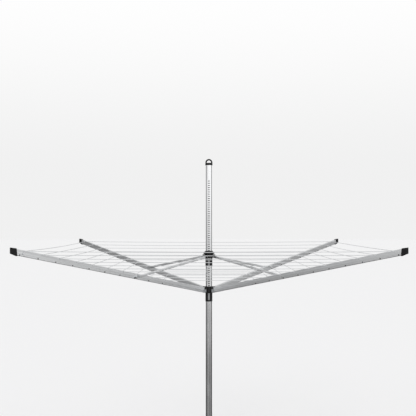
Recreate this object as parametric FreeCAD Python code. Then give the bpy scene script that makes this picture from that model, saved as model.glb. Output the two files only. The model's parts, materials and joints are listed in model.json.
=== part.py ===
"""Rotary clothesline: a slotted mast in a ground socket, four folding arms with side struts,
and ten laps of line. Millimetres, +Z up, origin on the mast axis at ground level."""
import FreeCAD
import Part
import math
import os

V = FreeCAD.Vector
UP = V(0, 0, 1)
SIDE = V(0, 1, 0)

# ---------------------------------------------------------------- driving dimensions
ARM_AZIMUTHS = (45, 135, 225, 315)
ARM_ELEVATION = 11.77
HUB_HEIGHT = 1000.0
TIP_RADIUS = 1592.0

# ground socket
SOCKET_OUTER_R = 27.5
SOCKET_WALL = 2.0
SOCKET_DEPTH = 340.0
SPIKE_LENGTH = 170.0
COLLAR_FLANGE_R = 40.0
COLLAR_TOP = 14.0

# mast
MAST_R = 22.5
MAST_WALL = 1.6
MAST_FOOT = -290.0
MAST_TOP = HUB_HEIGHT + 904.0
SLOT_WIDTH = 12.0
SLOT_HEIGHT = 6.0
SLOT_CORNER = 1.5
SLOT_PITCH = 15.6
SLOT_TOP = HUB_HEIGHT + 789.0
SLOT_COUNT = 54
CAP_R = 26.0
CAP_HEIGHT = 16.0
CAP_EDGE = 2.5
CAP_SPIGOT = 25.0
LOOP_BAR_R = 5.25
LOOP_R = 20.25
LOOP_LEG = 4.0
LOOP_SUNK = 12.0

# sliding pieces on the mast
RUNNING_GAP = 0.08
BUSH_OUTER_R = 23.6
SLEEVE_R = 25.0
HINGE_RADIUS = 40.0
HINGE_PIN_R = 3.0
PIN_GAP = 0.05
SIDE_GAP = 0.3

# lower hub, heights from the level where the arm centrelines meet
LOWER_HINGE_RISE = 24.0
LOWER_HUB_TOP = 35.0
LOWER_HUB_BOTTOM = -12.0
LOWER_SLEEVE_BOTTOM = -73.0
LOWER_HUB_R = 27.0
EAR_THICKNESS = 4.5
EAR_R = 8.5

# upper hub and height collar, heights from the same level
STRUT_JOINT_RADIUS = 682.0
STRUT_JOINT_DROP = 6.5
UPPER_HUB_TOP = 289.0
BRIM_EDGE_TOP = 274.0
BRIM_EDGE_BOTTOM = 269.0
BRIM_ROOT = 263.0
BRIM_R = 40.0
BOWL_R = 28.5
BOWL_RIM = 247.0
CARRIER_R = 31.0
CARRIER_BOTTOM = 256.0
UPPER_HUB_BOTTOM = 236.0
HEIGHT_COLLAR_BOTTOM = 179.0
COLLAR_RING_LEVELS = (232.4, 203.0)
COLLAR_RING_HEIGHT = 3.0
COLLAR_RING_R = 25.4
COLLAR_RING_DEPTH = 0.8

# arms
ARM_WIDTH = 18.0
ARM_DEPTH = 36.0
ARM_WALL = 1.8
ARM_CORNER = 3.5
GROOVE_DEPTH = 0.8
GROOVE_TOP = -9.0
GROOVE_BOTTOM = -16.0
ARM_END = 30.0
CAP_WIDTH = 22.0
CAP_CORNER = 4.0
CAP_UNDER_LENGTH = 47.0
CAP_OVER_LENGTH = 33.0
CAP_INNER_TOP = 21.0
CAP_INNER_BOTTOM = -22.0
CAP_OUTER_TOP = 19.0
CAP_OUTER_BOTTOM = -15.0
CAP_LEAN = 7.0
ARM_ROOT = 62.0
TONGUE_WIDTH = 12.0
TONGUE_EYE_R = 8.0
FITTING_INSERT = 40.0
FITTING_FLANGE = 4.0
FITTING_INNER = 33.0
FITTING_SHOULDER = 6.3

# struts, on the counter-clockwise side of each arm
STRUT_OFFSET = 15.5
STRUT_WIDTH = 10.0
STRUT_DEPTH = 15.0
STRUT_WALL = 1.2
STRUT_CORNER = 2.5
STRUT_EYE_LENGTH = 22.0
STRUT_INSERT = 30.0
UPPER_EAR_THICKNESS = 4.0
UPPER_EAR_R = 8.0

# lines
LAP_COUNT = 10
OUTER_LAP = 0.9546
LAP_STEP = 0.0755
LINE_R = 1.8
LINE_RISE = 12.0
LINE_BEND_R = 6.0
LINE_MEETING_GAP = 0.6
EYELET_R = 3.6
EYELET_BORE_R = 2.3
EYELET_FLANGE_R = 5.2
EYELET_FLANGE = 1.0
CLIP_RIVET_R = 2.6
CLIP_RIVET_HEAD = 1.2
CLIP_RIVET_HEAD_R = 3.4
CLIP_RIVET_DROP = 12.5

# latch levers: (hinge level, lower end, slot that the nose points at)
LEVER_WIDTH = 13.0
LEVER_THICKNESS = 6.0
LEVER_BACK = SLEEVE_R + 0.8
LEVER_PIN_R = 2.0
LEVER_KNUCKLE_R = 4.6
LEVER_HINGE_Y = -31.0
LEVER_LUG_R = 5.0
LEVER_LUG_WIDTH = 3.0
LATCH_CLEARANCE = 0.3
WINDOW_HALF_HEIGHT = 5.0
HEIGHT_LEVER = (224.0, 181.5, 37)
RELEASE_LEVER = (-18.0, -61.0, SLOT_COUNT - 1)

# ---------------------------------------------------------------- worked-out dimensions
SLOPE = math.tan(math.radians(ARM_ELEVATION))
HALF_SIDE = TIP_RADIUS / math.sqrt(2)
ARM_TIP = TIP_RADIUS / math.cos(math.radians(ARM_ELEVATION))
STRUT_JOINT_RISE = SLOPE * STRUT_JOINT_RADIUS - STRUT_JOINT_DROP
UPPER_HINGE_RISE = 2 * STRUT_JOINT_RISE - LOWER_HINGE_RISE
MAST_BORE_R = MAST_R - MAST_WALL
BUSH_R = MAST_R + RUNNING_GAP


# ---------------------------------------------------------------- shape helpers
def cylinder(radius, start, end):
    """Upright cylinder on the mast axis between two heights."""
    return Part.makeCylinder(radius, end - start, V(0, 0, start))


def ring(outer, inner, start, end):
    """Upright tube on the mast axis between two heights."""
    return cylinder(outer, start, end).cut(cylinder(inner, start, end))


def block(low, high):
    """Box between two corners."""
    size = [high[i] - low[i] for i in range(3)]
    return Part.makeBox(size[0], size[1], size[2], V(low[0], low[1], low[2]))


def lathe(outline):
    """Solid turned about the mast axis from (radius, height) points."""
    points = [V(radius, 0, height) for radius, height in outline]
    face = Part.Face(Part.makePolygon(points + points[:1]))
    return face.revolve(V(0, 0, 0), UP, 360)


def cross_bar(radius, x, z, start, end):
    """Cylinder along Y through (x, z) from one Y to another."""
    return Part.makeCylinder(radius, end - start, V(x, start, z), SIDE)


def rounded_bar(width, depth, corner, start, end):
    """Bar along X with a rounded rectangular section, centred on the X axis."""
    bar = block((start, -width / 2, -depth / 2), (end, width / 2, depth / 2))
    long_edges = [e for e in bar.Edges if abs(e.tangentAt(e.FirstParameter).x) > 0.9]
    return bar.makeFillet(corner, long_edges)


def fused(first, *others):
    """Union of several solids as one clean solid."""
    return first.fuse(list(others)).removeSplitter()


def drilled(shape, *holes):
    """Shape with every hole cut from it."""
    return shape.cut(list(holes))


def raised(shape, height=HUB_HEIGHT):
    """Shape moved up to the hub level."""
    return shape.translated(V(0, 0, height))


def at_azimuth(shape, azimuth):
    """Shape turned about the mast axis."""
    return shape.rotated(V(0, 0, 0), UP, azimuth)


def on_arm(shape, azimuth):
    """Shape drawn along X tilted to the arm's slope and set at its azimuth."""
    tilted = shape.rotated(V(0, 0, 0), SIDE, -ARM_ELEVATION)
    return at_azimuth(raised(tilted), azimuth)


def along_arm(radius, rise):
    """Distance along an arm and height above its centreline of a (radius, rise) point."""
    angle = math.radians(ARM_ELEVATION)
    along = radius * math.cos(angle) + rise * math.sin(angle)
    above = rise * math.cos(angle) - radius * math.sin(angle)
    return along, above


def lap_half_side(lap):
    """Half the side of a lap's square."""
    return (OUTER_LAP - LAP_STEP * lap) * HALF_SIDE


def line_bend():
    """Distance from the arm's mid-plane where a lap turns to cross it squarely."""
    return ARM_WIDTH / 2 + EYELET_FLANGE + 2.0


def lap_radius(lap):
    """Radius at which a lap goes through the arms."""
    return lap_half_side(lap) * math.sqrt(2) - line_bend()


def lap_rise(lap):
    """Height of a lap above the hub level."""
    return SLOPE * lap_radius(lap) + LINE_RISE


# ---------------------------------------------------------------- ground socket
def ground_socket_tube():
    """Steel tube sunk in the ground."""
    return ring(SOCKET_OUTER_R, SOCKET_OUTER_R - SOCKET_WALL, -SOCKET_DEPTH, 0)


def ground_socket_spike():
    """Pointed foot welded under the socket tube."""
    spigot_r = SOCKET_OUTER_R - SOCKET_WALL
    outline = [
        (0, -SOCKET_DEPTH - SPIKE_LENGTH),
        (3, -SOCKET_DEPTH - SPIKE_LENGTH),
        (SOCKET_OUTER_R, -SOCKET_DEPTH - 30),
        (SOCKET_OUTER_R, -SOCKET_DEPTH),
        (spigot_r, -SOCKET_DEPTH),
        (spigot_r, -SOCKET_DEPTH + 8),
        (0, -SOCKET_DEPTH + 8),
    ]
    return lathe(outline)


def ground_socket_collar():
    """Plastic collar that closes the socket's mouth and steadies the mast."""
    outline = [
        (BUSH_R, -30),
        (SOCKET_OUTER_R - SOCKET_WALL, -30),
        (SOCKET_OUTER_R - SOCKET_WALL, 0),
        (COLLAR_FLANGE_R, 0),
        (COLLAR_FLANGE_R, 4),
        (30, COLLAR_TOP),
        (BUSH_R + 2, COLLAR_TOP),
        (BUSH_R, COLLAR_TOP - 2),
    ]
    return lathe(outline)


def ground_socket_foot_bush():
    """Plastic cup at the bottom of the socket that the mast turns in."""
    outer_r = SOCKET_OUTER_R - SOCKET_WALL
    cup = cylinder(outer_r, -SOCKET_DEPTH + 8, MAST_FOOT + 40)
    return cup.cut(cylinder(BUSH_R, MAST_FOOT - 6.2, MAST_FOOT + 41))


# ---------------------------------------------------------------- mast
def mast_slot(level):
    """Latch slot cut through the front wall of the mast."""
    half_width = SLOT_WIDTH / 2
    half_height = SLOT_HEIGHT / 2
    cutter = block(
        (-half_width, -MAST_R - 2, level - half_height),
        (half_width, -MAST_R / 2, level + half_height),
    )
    corners = [e for e in cutter.Edges if abs(e.tangentAt(e.FirstParameter).y) > 0.9]
    return cutter.makeFillet(SLOT_CORNER, corners)


def mast_tube():
    """Aluminium mast with a ladder of latch slots down its front."""
    slots = [mast_slot(SLOT_TOP - SLOT_PITCH * number) for number in range(SLOT_COUNT)]
    return drilled(ring(MAST_R, MAST_BORE_R, MAST_FOOT, MAST_TOP), *slots)


def mast_foot_plug():
    """Plastic plug that closes the mast's foot."""
    head = cylinder(MAST_R, MAST_FOOT - 6, MAST_FOOT)
    return fused(head, cylinder(MAST_BORE_R, MAST_FOOT, MAST_FOOT + 30))


def mast_top_cap():
    """Plastic cap on the mast, with a chamfered edge and two sockets for the loop."""
    top = MAST_TOP + CAP_HEIGHT
    outline = [
        (0, MAST_TOP - CAP_SPIGOT),
        (MAST_BORE_R, MAST_TOP - CAP_SPIGOT),
        (MAST_BORE_R, MAST_TOP),
        (CAP_R, MAST_TOP),
        (CAP_R, top - CAP_EDGE),
        (CAP_R - CAP_EDGE, top),
        (0, top),
    ]
    sockets = [
        Part.makeCylinder(LOOP_BAR_R, CAP_HEIGHT, V(side * LOOP_R, 0, top - LOOP_SUNK))
        for side in (-1, 1)
    ]
    return drilled(lathe(outline), *sockets)


def hanging_loop():
    """Round arch on two short legs that stand in the cap."""
    foot = MAST_TOP + CAP_HEIGHT - LOOP_SUNK
    shoulder = MAST_TOP + CAP_HEIGHT + LOOP_LEG
    left = Part.LineSegment(V(-LOOP_R, 0, foot), V(-LOOP_R, 0, shoulder))
    arch = Part.Arc(V(-LOOP_R, 0, shoulder), V(0, 0, shoulder + LOOP_R), V(LOOP_R, 0, shoulder))
    right = Part.LineSegment(V(LOOP_R, 0, shoulder), V(LOOP_R, 0, foot))
    path = Part.Wire([left.toShape(), arch.toShape(), right.toShape()])
    section = Part.Wire(Part.makeCircle(LOOP_BAR_R, V(-LOOP_R, 0, foot), UP))
    return path.makePipeShell([section], True, True)


# ---------------------------------------------------------------- latch levers
def slot_level(number):
    """Height of a latch slot above the hub level."""
    return SLOT_TOP - HUB_HEIGHT - number * SLOT_PITCH


def crosswise(radius, level, half_length):
    """Cylinder along X on a lever's hinge axis."""
    start = V(-half_length, LEVER_HINGE_Y, level)
    return Part.makeCylinder(radius, 2 * half_length, start, V(1, 0, 0))


def lever(hinge, bottom, slot):
    """Latch lever that is pulled away from the mast to draw its nose out of a slot."""
    half = LEVER_WIDTH / 2
    front = LEVER_BACK + LEVER_THICKNESS
    plate = block((-half, -front, bottom), (half, -LEVER_BACK, hinge))
    lip = block((-half, -front - 3, bottom), (half, -front + 1, bottom + 5))
    nose_low = slot_level(slot) - SLOT_HEIGHT / 2 + 1
    nose = block(
        (-SLOT_WIDTH / 2 + 1, -LEVER_BACK - 1, nose_low),
        (SLOT_WIDTH / 2 - 1, -MAST_R - LATCH_CLEARANCE, nose_low + SLOT_HEIGHT - 2),
    )
    knuckle = crosswise(LEVER_KNUCKLE_R, hinge, half)
    hole = crosswise(LEVER_PIN_R + PIN_GAP, hinge, LEVER_WIDTH)
    return raised(drilled(fused(plate, knuckle, lip, nose), hole))


def lever_pin(hinge):
    """Pin through a lever and its lugs."""
    return raised(crosswise(LEVER_PIN_R, hinge, LEVER_WIDTH / 2 + SIDE_GAP + LEVER_LUG_WIDTH))


def lever_spring(bottom):
    """Leaf spring on the sleeve that presses a lever home."""
    start = bottom + 10
    half = LEVER_WIDTH / 2 - 3
    leaf = block((-half, -SLEEVE_R - 0.6, start), (half, -SLEEVE_R + 0.4, start + 11))
    return raised(leaf.cut(cylinder(SLEEVE_R, start - 1, start + 12)))


def lever_lugs(hinge):
    """Two lugs that stand out from a sleeve on either side of a lever."""
    lugs = []
    for side in (-1, 1):
        inner = LEVER_WIDTH / 2 + SIDE_GAP
        low, high = sorted((side * inner, side * (inner + LEVER_LUG_WIDTH)))
        root = block((low, LEVER_HINGE_Y, hinge - LEVER_LUG_R), (high, -15, hinge + LEVER_LUG_R))
        start = V(low, LEVER_HINGE_Y, hinge)
        eye = Part.makeCylinder(LEVER_LUG_R, LEVER_LUG_WIDTH, start, V(1, 0, 0))
        lugs += [root, eye]
    return lugs


def latch_window(slot):
    """Opening in a sleeve and its bush that the latch nose goes through."""
    half = LEVER_WIDTH / 2 + SIDE_GAP
    level = slot_level(slot)
    return block(
        (-half, LEVER_HINGE_Y - 4, level - WINDOW_HALF_HEIGHT),
        (half, -MAST_R / 2, level + WINDOW_HALF_HEIGHT),
    )


def lever_sleeve(bottom, top, hinge, slot):
    """Sleeve on the mast with lugs, pin holes and a window for a latch lever."""
    body = fused(cylinder(SLEEVE_R, bottom, top), *lever_lugs(hinge))
    bore = cylinder(BUSH_OUTER_R, bottom, top)
    return drilled(body, bore, crosswise(LEVER_PIN_R, hinge, LEVER_WIDTH), latch_window(slot))


# ---------------------------------------------------------------- height collar
def collar_rings(outer):
    """Two bands round the height collar."""
    return [
        ring(outer, SLEEVE_R - COLLAR_RING_DEPTH, level, level + COLLAR_RING_HEIGHT)
        for level in COLLAR_RING_LEVELS
    ]


def height_collar_sleeve():
    """Plastic sleeve under the upper hub that locks the umbrella's height."""
    hinge, bottom, slot = HEIGHT_LEVER
    top = UPPER_HUB_BOTTOM - SIDE_GAP
    sleeve = lever_sleeve(HEIGHT_COLLAR_BOTTOM, top, hinge, slot)
    return raised(drilled(sleeve, *collar_rings(SLEEVE_R + 2)))


def height_collar_rings():
    """Two bright trim rings let into the sleeve."""
    return raised(Part.makeCompound(collar_rings(COLLAR_RING_R)))


def height_collar_bush():
    """Sliding bush inside the sleeve, with a window for the latch nose."""
    bush = ring(BUSH_OUTER_R, BUSH_R, HEIGHT_COLLAR_BOTTOM, UPPER_HUB_BOTTOM - SIDE_GAP)
    return raised(drilled(bush, latch_window(HEIGHT_LEVER[2])))


def height_lever():
    """Lever that unlocks the height collar."""
    return lever(*HEIGHT_LEVER)


def height_lever_pin():
    """Hinge pin of the height lever."""
    return lever_pin(HEIGHT_LEVER[0])


def height_lever_spring():
    """Leaf spring of the height lever."""
    return lever_spring(HEIGHT_LEVER[1])


# ---------------------------------------------------------------- lower hub
def lower_hub_ears():
    """Pairs of ears that carry the arm hinges."""
    ears = []
    inner = TONGUE_WIDTH / 2 + SIDE_GAP
    for azimuth in ARM_AZIMUTHS:
        for side in (-1, 1):
            low, high = sorted((side * inner, side * (inner + EAR_THICKNESS)))
            root = block(
                (HINGE_RADIUS - 18, low, LOWER_HINGE_RISE - EAR_R),
                (HINGE_RADIUS, high, LOWER_HINGE_RISE + EAR_R),
            )
            eye = cross_bar(EAR_R, HINGE_RADIUS, LOWER_HINGE_RISE, low, high)
            ear = root.fuse(eye)
            ears.append(at_azimuth(ear, azimuth))
    return ears


def hinge_holes(rise, offset, half_length):
    """Cylinders of the hinge pin's size at all four arms."""
    return [
        at_azimuth(
            cross_bar(HINGE_PIN_R, HINGE_RADIUS, rise, offset - half_length, offset + half_length),
            azimuth,
        )
        for azimuth in ARM_AZIMUTHS
    ]


def lower_pin_half_length():
    """Half the length of an arm hinge pin."""
    return TONGUE_WIDTH / 2 + SIDE_GAP + EAR_THICKNESS


def lower_hub_body():
    """Four-way hub that the arms hinge on."""
    outline = [
        (BUSH_OUTER_R, LOWER_HUB_BOTTOM),
        (LOWER_HUB_R - 1, LOWER_HUB_BOTTOM),
        (LOWER_HUB_R, LOWER_HUB_BOTTOM + 3),
        (LOWER_HUB_R, LOWER_HUB_TOP - 6),
        (LOWER_HUB_R - 2.5, LOWER_HUB_TOP),
        (BUSH_OUTER_R, LOWER_HUB_TOP),
    ]
    bore = cylinder(BUSH_OUTER_R, LOWER_HUB_BOTTOM - 5, LOWER_HUB_TOP + 5)
    holes = hinge_holes(LOWER_HINGE_RISE, 0, lower_pin_half_length())
    hub = fused(lathe(outline), *lower_hub_ears())
    return raised(drilled(hub, bore, *holes))


def lower_hub_bush():
    """Sliding bush inside the hub and its sleeve, with a window for the latch nose."""
    bush = ring(BUSH_OUTER_R, BUSH_R, LOWER_SLEEVE_BOTTOM, LOWER_HUB_TOP)
    return raised(drilled(bush, latch_window(RELEASE_LEVER[2])))


def lower_hub_pins():
    """Four arm hinge pins."""
    pins = hinge_holes(LOWER_HINGE_RISE, 0, lower_pin_half_length())
    return raised(Part.makeCompound(pins))


def lower_hub_sleeve():
    """Grip sleeve under the hub with two lugs for the release lever."""
    hinge, bottom, slot = RELEASE_LEVER
    return raised(lever_sleeve(LOWER_SLEEVE_BOTTOM, LOWER_HUB_BOTTOM, hinge, slot))


def release_lever():
    """Lever that frees the lower hub, so that the arms can fold."""
    return lever(*RELEASE_LEVER)


def release_lever_pin():
    """Hinge pin of the release lever."""
    return lever_pin(RELEASE_LEVER[0])


def release_lever_spring():
    """Leaf spring of the release lever."""
    return lever_spring(RELEASE_LEVER[1])


# ---------------------------------------------------------------- upper hub
def upper_hub_ears():
    """Pairs of ears that carry the struts' inner hinges, offset to one side of each arm."""
    ears = []
    inner = STRUT_WIDTH / 2 + SIDE_GAP
    for azimuth in ARM_AZIMUTHS:
        for side in (-1, 1):
            near = STRUT_OFFSET + side * inner
            far = STRUT_OFFSET + side * (inner + UPPER_EAR_THICKNESS)
            low, high = sorted((near, far))
            root = block(
                (HINGE_RADIUS - 24, low, UPPER_HINGE_RISE - UPPER_EAR_R),
                (HINGE_RADIUS, high, BRIM_ROOT),
            )
            eye = cross_bar(UPPER_EAR_R, HINGE_RADIUS, UPPER_HINGE_RISE, low, high)
            ears.append(at_azimuth(root.fuse(eye), azimuth))
    return ears


def upper_pin_half_length():
    """Half the length of a strut's inner hinge pin."""
    return STRUT_WIDTH / 2 + SIDE_GAP + UPPER_EAR_THICKNESS


def upper_hub_carrier():
    """Cast ring clamped in the upper hub, with the ears that carry the struts."""
    band = ring(CARRIER_R, SLEEVE_R, CARRIER_BOTTOM, BRIM_ROOT)
    sleeve = cylinder(SLEEVE_R, UPPER_HUB_BOTTOM - 5, UPPER_HUB_TOP)
    holes = hinge_holes(UPPER_HINGE_RISE, STRUT_OFFSET, upper_pin_half_length())
    return raised(drilled(fused(band, *upper_hub_ears()), sleeve, *holes))


def upper_hub_shell():
    """Conical hub with a bowl under its brim and a seat for the carrier."""
    outline = [
        (BUSH_OUTER_R, UPPER_HUB_BOTTOM),
        (SLEEVE_R, UPPER_HUB_BOTTOM),
        (BOWL_R, BOWL_RIM),
        (BOWL_R, BRIM_ROOT),
        (BRIM_R, BRIM_EDGE_BOTTOM),
        (BRIM_R, BRIM_EDGE_TOP),
        (SLEEVE_R + 2, UPPER_HUB_TOP - 3),
        (SLEEVE_R, UPPER_HUB_TOP),
        (BUSH_OUTER_R, UPPER_HUB_TOP),
    ]
    return raised(lathe(outline)).cut(upper_hub_carrier())


def upper_hub_bush():
    """Sliding bush inside the upper hub."""
    return raised(ring(BUSH_OUTER_R, BUSH_R, UPPER_HUB_BOTTOM, UPPER_HUB_TOP))


def upper_hub_pins():
    """Four pins at the struts' inner ends."""
    pins = hinge_holes(UPPER_HINGE_RISE, STRUT_OFFSET, upper_pin_half_length())
    return raised(Part.makeCompound(pins))


# ---------------------------------------------------------------- arms
def lap_point(lap):
    """Where a lap goes through the arm, along it and above its centreline."""
    return along_arm(lap_radius(lap), lap_rise(lap))


def rivet_point(lap):
    """Where the rivet of a lap's clip goes through the arm."""
    outward = lap_radius(lap) + 2 * line_bend()
    return along_arm(outward, SLOPE * outward)[0], -CLIP_RIVET_DROP


def arm_bore(start, end):
    """Inside of the arm's box profile, or a plug that fills it."""
    width = ARM_WIDTH - 2 * ARM_WALL
    depth = ARM_DEPTH - 2 * ARM_WALL
    return rounded_bar(width, depth, ARM_CORNER - ARM_WALL, start, end)


def side_grooves():
    """Shallow bands along both sides of the arm, near its lower edge."""
    bands = []
    for side in (-1, 1):
        low, high = sorted((side * (ARM_WIDTH / 2 - GROOVE_DEPTH), side * ARM_WIDTH))
        bands.append(block((0, low, GROOVE_BOTTOM), (ARM_TIP, high, GROOVE_TOP)))
    return bands


def arm_profile(azimuth):
    """Aluminium box profile drilled for the eyelets, the clip rivets and the strut pin."""
    end = ARM_TIP - ARM_END
    outer = rounded_bar(ARM_WIDTH, ARM_DEPTH, ARM_CORNER, ARM_ROOT, end)
    holes = [arm_bore(ARM_ROOT, end), *side_grooves()]
    for lap in range(LAP_COUNT):
        along, above = lap_point(lap)
        holes.append(cross_bar(EYELET_R, along, above, -ARM_WIDTH, ARM_WIDTH))
        along, above = rivet_point(lap)
        holes.append(cross_bar(CLIP_RIVET_R, along, above, -ARM_WIDTH, ARM_WIDTH))
    along, above = along_arm(STRUT_JOINT_RADIUS, STRUT_JOINT_RISE)
    holes.append(cross_bar(HINGE_PIN_R, along, above, -ARM_WIDTH, ARM_WIDTH))
    return on_arm(drilled(outer, *holes), azimuth)


def plate(outline, half_thickness):
    """Flat plate from (along, above) points, centred on the arm's mid-plane."""
    points = [V(along, -half_thickness, above) for along, above in outline]
    face = Part.Face(Part.makePolygon(points + points[:1]))
    return face.extrude(SIDE * (2 * half_thickness))


def arm_root_fitting(azimuth):
    """Cast plug in the arm's inner end, whose narrow tongue at the top takes the hinge pin."""
    along, above = along_arm(HINGE_RADIUS, LOWER_HINGE_RISE)
    half = ARM_WIDTH / 2
    depth = ARM_DEPTH / 2
    tongue_half = TONGUE_WIDTH / 2
    insert = arm_bore(ARM_ROOT, ARM_ROOT + FITTING_INSERT)
    flange = rounded_bar(ARM_WIDTH, ARM_DEPTH, ARM_CORNER, ARM_ROOT - FITTING_FLANGE, ARM_ROOT)
    body = plate(
        [
            (FITTING_INNER + 8, -depth),
            (ARM_ROOT - 1, -depth),
            (ARM_ROOT - 1, FITTING_SHOULDER),
            (FITTING_INNER, FITTING_SHOULDER),
            (FITTING_INNER, -depth + 8),
        ],
        half,
    )
    under = [e for e in body.Edges if e.BoundBox.ZMax < -depth + 0.01 and e.BoundBox.XLength > 5]
    body = body.makeFillet(ARM_CORNER, under)
    tongue = plate(
        [
            (FITTING_INNER + 2, 0),
            (ARM_ROOT - 1, 0),
            (ARM_ROOT - 1, depth),
            (along, above + TONGUE_EYE_R),
        ],
        tongue_half,
    )
    eye = cross_bar(TONGUE_EYE_R, along, above, -tongue_half, tongue_half)
    hole = cross_bar(HINGE_PIN_R + PIN_GAP, along, above, -ARM_WIDTH, ARM_WIDTH)
    return on_arm(drilled(fused(insert, flange, body, tongue, eye), hole), azimuth)


def arm_end_cap(azimuth):
    """Tapered plastic cap over the arm's outer end, longer along its underside."""
    outer = plate(
        [
            (ARM_TIP - CAP_UNDER_LENGTH, CAP_INNER_BOTTOM),
            (ARM_TIP - CAP_LEAN, CAP_OUTER_BOTTOM),
            (ARM_TIP, CAP_OUTER_TOP),
            (ARM_TIP - CAP_OVER_LENGTH, CAP_INNER_TOP),
        ],
        CAP_WIDTH / 2,
    )
    rim = [
        e
        for e in outer.Edges
        if e.BoundBox.XMax > ARM_TIP - CAP_LEAN - 0.01 and e.BoundBox.XMin < ARM_TIP - 0.01
    ]
    outer = outer.makeFillet(CAP_CORNER, rim)
    start = ARM_TIP - CAP_UNDER_LENGTH - 1
    pocket = rounded_bar(ARM_WIDTH, ARM_DEPTH, ARM_CORNER, start, ARM_TIP - ARM_END)
    return on_arm(drilled(outer, pocket), azimuth)


def arm_line_clips(azimuth):
    """Eyelet bushes that the laps go through, and the rivet of each clip."""
    half = ARM_WIDTH / 2
    pieces = []
    for lap in range(LAP_COUNT):
        along, above = lap_point(lap)
        reach = half + EYELET_FLANGE
        bush = cross_bar(EYELET_R, along, above, -reach, reach)
        flanges = [
            cross_bar(EYELET_FLANGE_R, along, above, low, low + EYELET_FLANGE)
            for low in (-reach, half)
        ]
        hole = cross_bar(EYELET_BORE_R, along, above, -ARM_WIDTH, ARM_WIDTH)
        pieces.append(drilled(fused(bush, *flanges), hole))
        along, above = rivet_point(lap)
        seat = half - GROOVE_DEPTH
        reach = seat + CLIP_RIVET_HEAD
        shank = cross_bar(CLIP_RIVET_R, along, above, -reach, reach)
        heads = [
            cross_bar(CLIP_RIVET_HEAD_R, along, above, low, low + CLIP_RIVET_HEAD)
            for low in (-reach, seat)
        ]
        pieces.append(fused(shank, *heads))
    return on_arm(Part.makeCompound(pieces), azimuth)


def arm_strut_pin(azimuth):
    """Headed pin through the arm and the strut's outer end."""
    along, above = along_arm(STRUT_JOINT_RADIUS, STRUT_JOINT_RISE)
    far = STRUT_OFFSET + STRUT_WIDTH / 2 + SIDE_GAP
    near = -ARM_WIDTH / 2
    shank = cross_bar(HINGE_PIN_R, along, above, near, far)
    heads = [
        cross_bar(HINGE_PIN_R + 2.5, along, above, near - 1.5, near),
        cross_bar(HINGE_PIN_R + 2.5, along, above, far, far + 1.5),
    ]
    return on_arm(fused(shank, *heads), azimuth)


# ---------------------------------------------------------------- struts
def strut_frame():
    """Length and downward slope, in degrees, of a strut from the upper hub to its arm."""
    run = STRUT_JOINT_RADIUS - HINGE_RADIUS
    fall = UPPER_HINGE_RISE - STRUT_JOINT_RISE
    return math.hypot(run, fall), math.degrees(math.atan2(fall, run))


def as_strut(shape, azimuth):
    """Shape drawn along X from the inner hinge, set in its place beside an arm."""
    turned = shape.rotated(V(0, 0, 0), SIDE, strut_frame()[1])
    placed = turned.translated(V(HINGE_RADIUS, STRUT_OFFSET, UPPER_HINGE_RISE))
    return at_azimuth(raised(placed), azimuth)


def strut_tube(azimuth):
    """Slim box tube of a strut."""
    start = STRUT_EYE_LENGTH
    end = strut_frame()[0] - STRUT_EYE_LENGTH
    outer = rounded_bar(STRUT_WIDTH, STRUT_DEPTH, STRUT_CORNER, start, end)
    inner = rounded_bar(
        STRUT_WIDTH - 2 * STRUT_WALL,
        STRUT_DEPTH - 2 * STRUT_WALL,
        STRUT_CORNER - STRUT_WALL,
        start,
        end,
    )
    return as_strut(outer.cut(inner), azimuth)


def strut_end_fitting(hinge_x, tube_x):
    """Moulded end with an eye at one x and an insert that fills the tube from the other."""
    half = STRUT_WIDTH / 2
    towards = 1 if tube_x > hinge_x else -1
    low, high = sorted((tube_x, tube_x + towards * STRUT_INSERT))
    insert = rounded_bar(
        STRUT_WIDTH - 2 * STRUT_WALL,
        STRUT_DEPTH - 2 * STRUT_WALL,
        STRUT_CORNER - STRUT_WALL,
        low,
        high,
    )
    low, high = sorted((hinge_x, tube_x))
    shank = block((low, -half, -STRUT_DEPTH / 2), (high, half, STRUT_DEPTH / 2))
    eye = cross_bar(STRUT_DEPTH / 2, hinge_x, 0, -half, half)
    hole = cross_bar(HINGE_PIN_R + PIN_GAP, hinge_x, 0, -STRUT_WIDTH, STRUT_WIDTH)
    return drilled(fused(shank, eye, insert), hole)


def strut_ends(azimuth):
    """Both moulded ends of a strut."""
    length = strut_frame()[0]
    inner = strut_end_fitting(0, STRUT_EYE_LENGTH)
    outer = strut_end_fitting(length, length - STRUT_EYE_LENGTH)
    return as_strut(Part.makeCompound([inner, outer]), azimuth)


# ---------------------------------------------------------------- lines
def lap_over_arm(lap):
    """One lap's run from mid-span, through the arm, to the next mid-span."""
    half_turn = math.radians(45) / 2
    radius = lap_radius(lap)
    rise = lap_rise(lap)
    middle = (lap_half_side(lap) - LINE_MEETING_GAP) / math.sqrt(2)
    start_radius = lap_half_side(lap) * math.sqrt(2) - middle
    cut_back = LINE_BEND_R * math.tan(half_turn)
    slant = cut_back / math.sqrt(2)
    arc_depth = LINE_BEND_R / math.cos(half_turn) - LINE_BEND_R
    edges = []
    before = V(start_radius, -middle, rise)
    for side in (-1, 1):
        corner = V(radius, side * line_bend(), rise)
        inward = V(-math.cos(half_turn), -side * math.sin(half_turn), 0)
        ends = [corner + V(-slant, side * slant, 0), corner - V(0, side * cut_back, 0)]
        first, last = ends if side < 0 else ends[::-1]
        edges.append(Part.LineSegment(before, first).toShape())
        edges.append(Part.Arc(first, corner + inward * arc_depth, last).toShape())
        before = last
    edges.append(Part.LineSegment(before, V(start_radius, middle, rise)).toShape())
    start = V(start_radius, -middle, rise)
    section = Part.Wire(Part.makeCircle(LINE_R, start, V(1, 1, 0)))
    return Part.Wire(edges).makePipeShell([section], True, True)


def line_laps(azimuth):
    """All ten laps where they cross one arm, each out to mid-span on both sides."""
    laps = [lap_over_arm(lap) for lap in range(LAP_COUNT)]
    return at_azimuth(raised(Part.makeCompound(laps)), azimuth)


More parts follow.
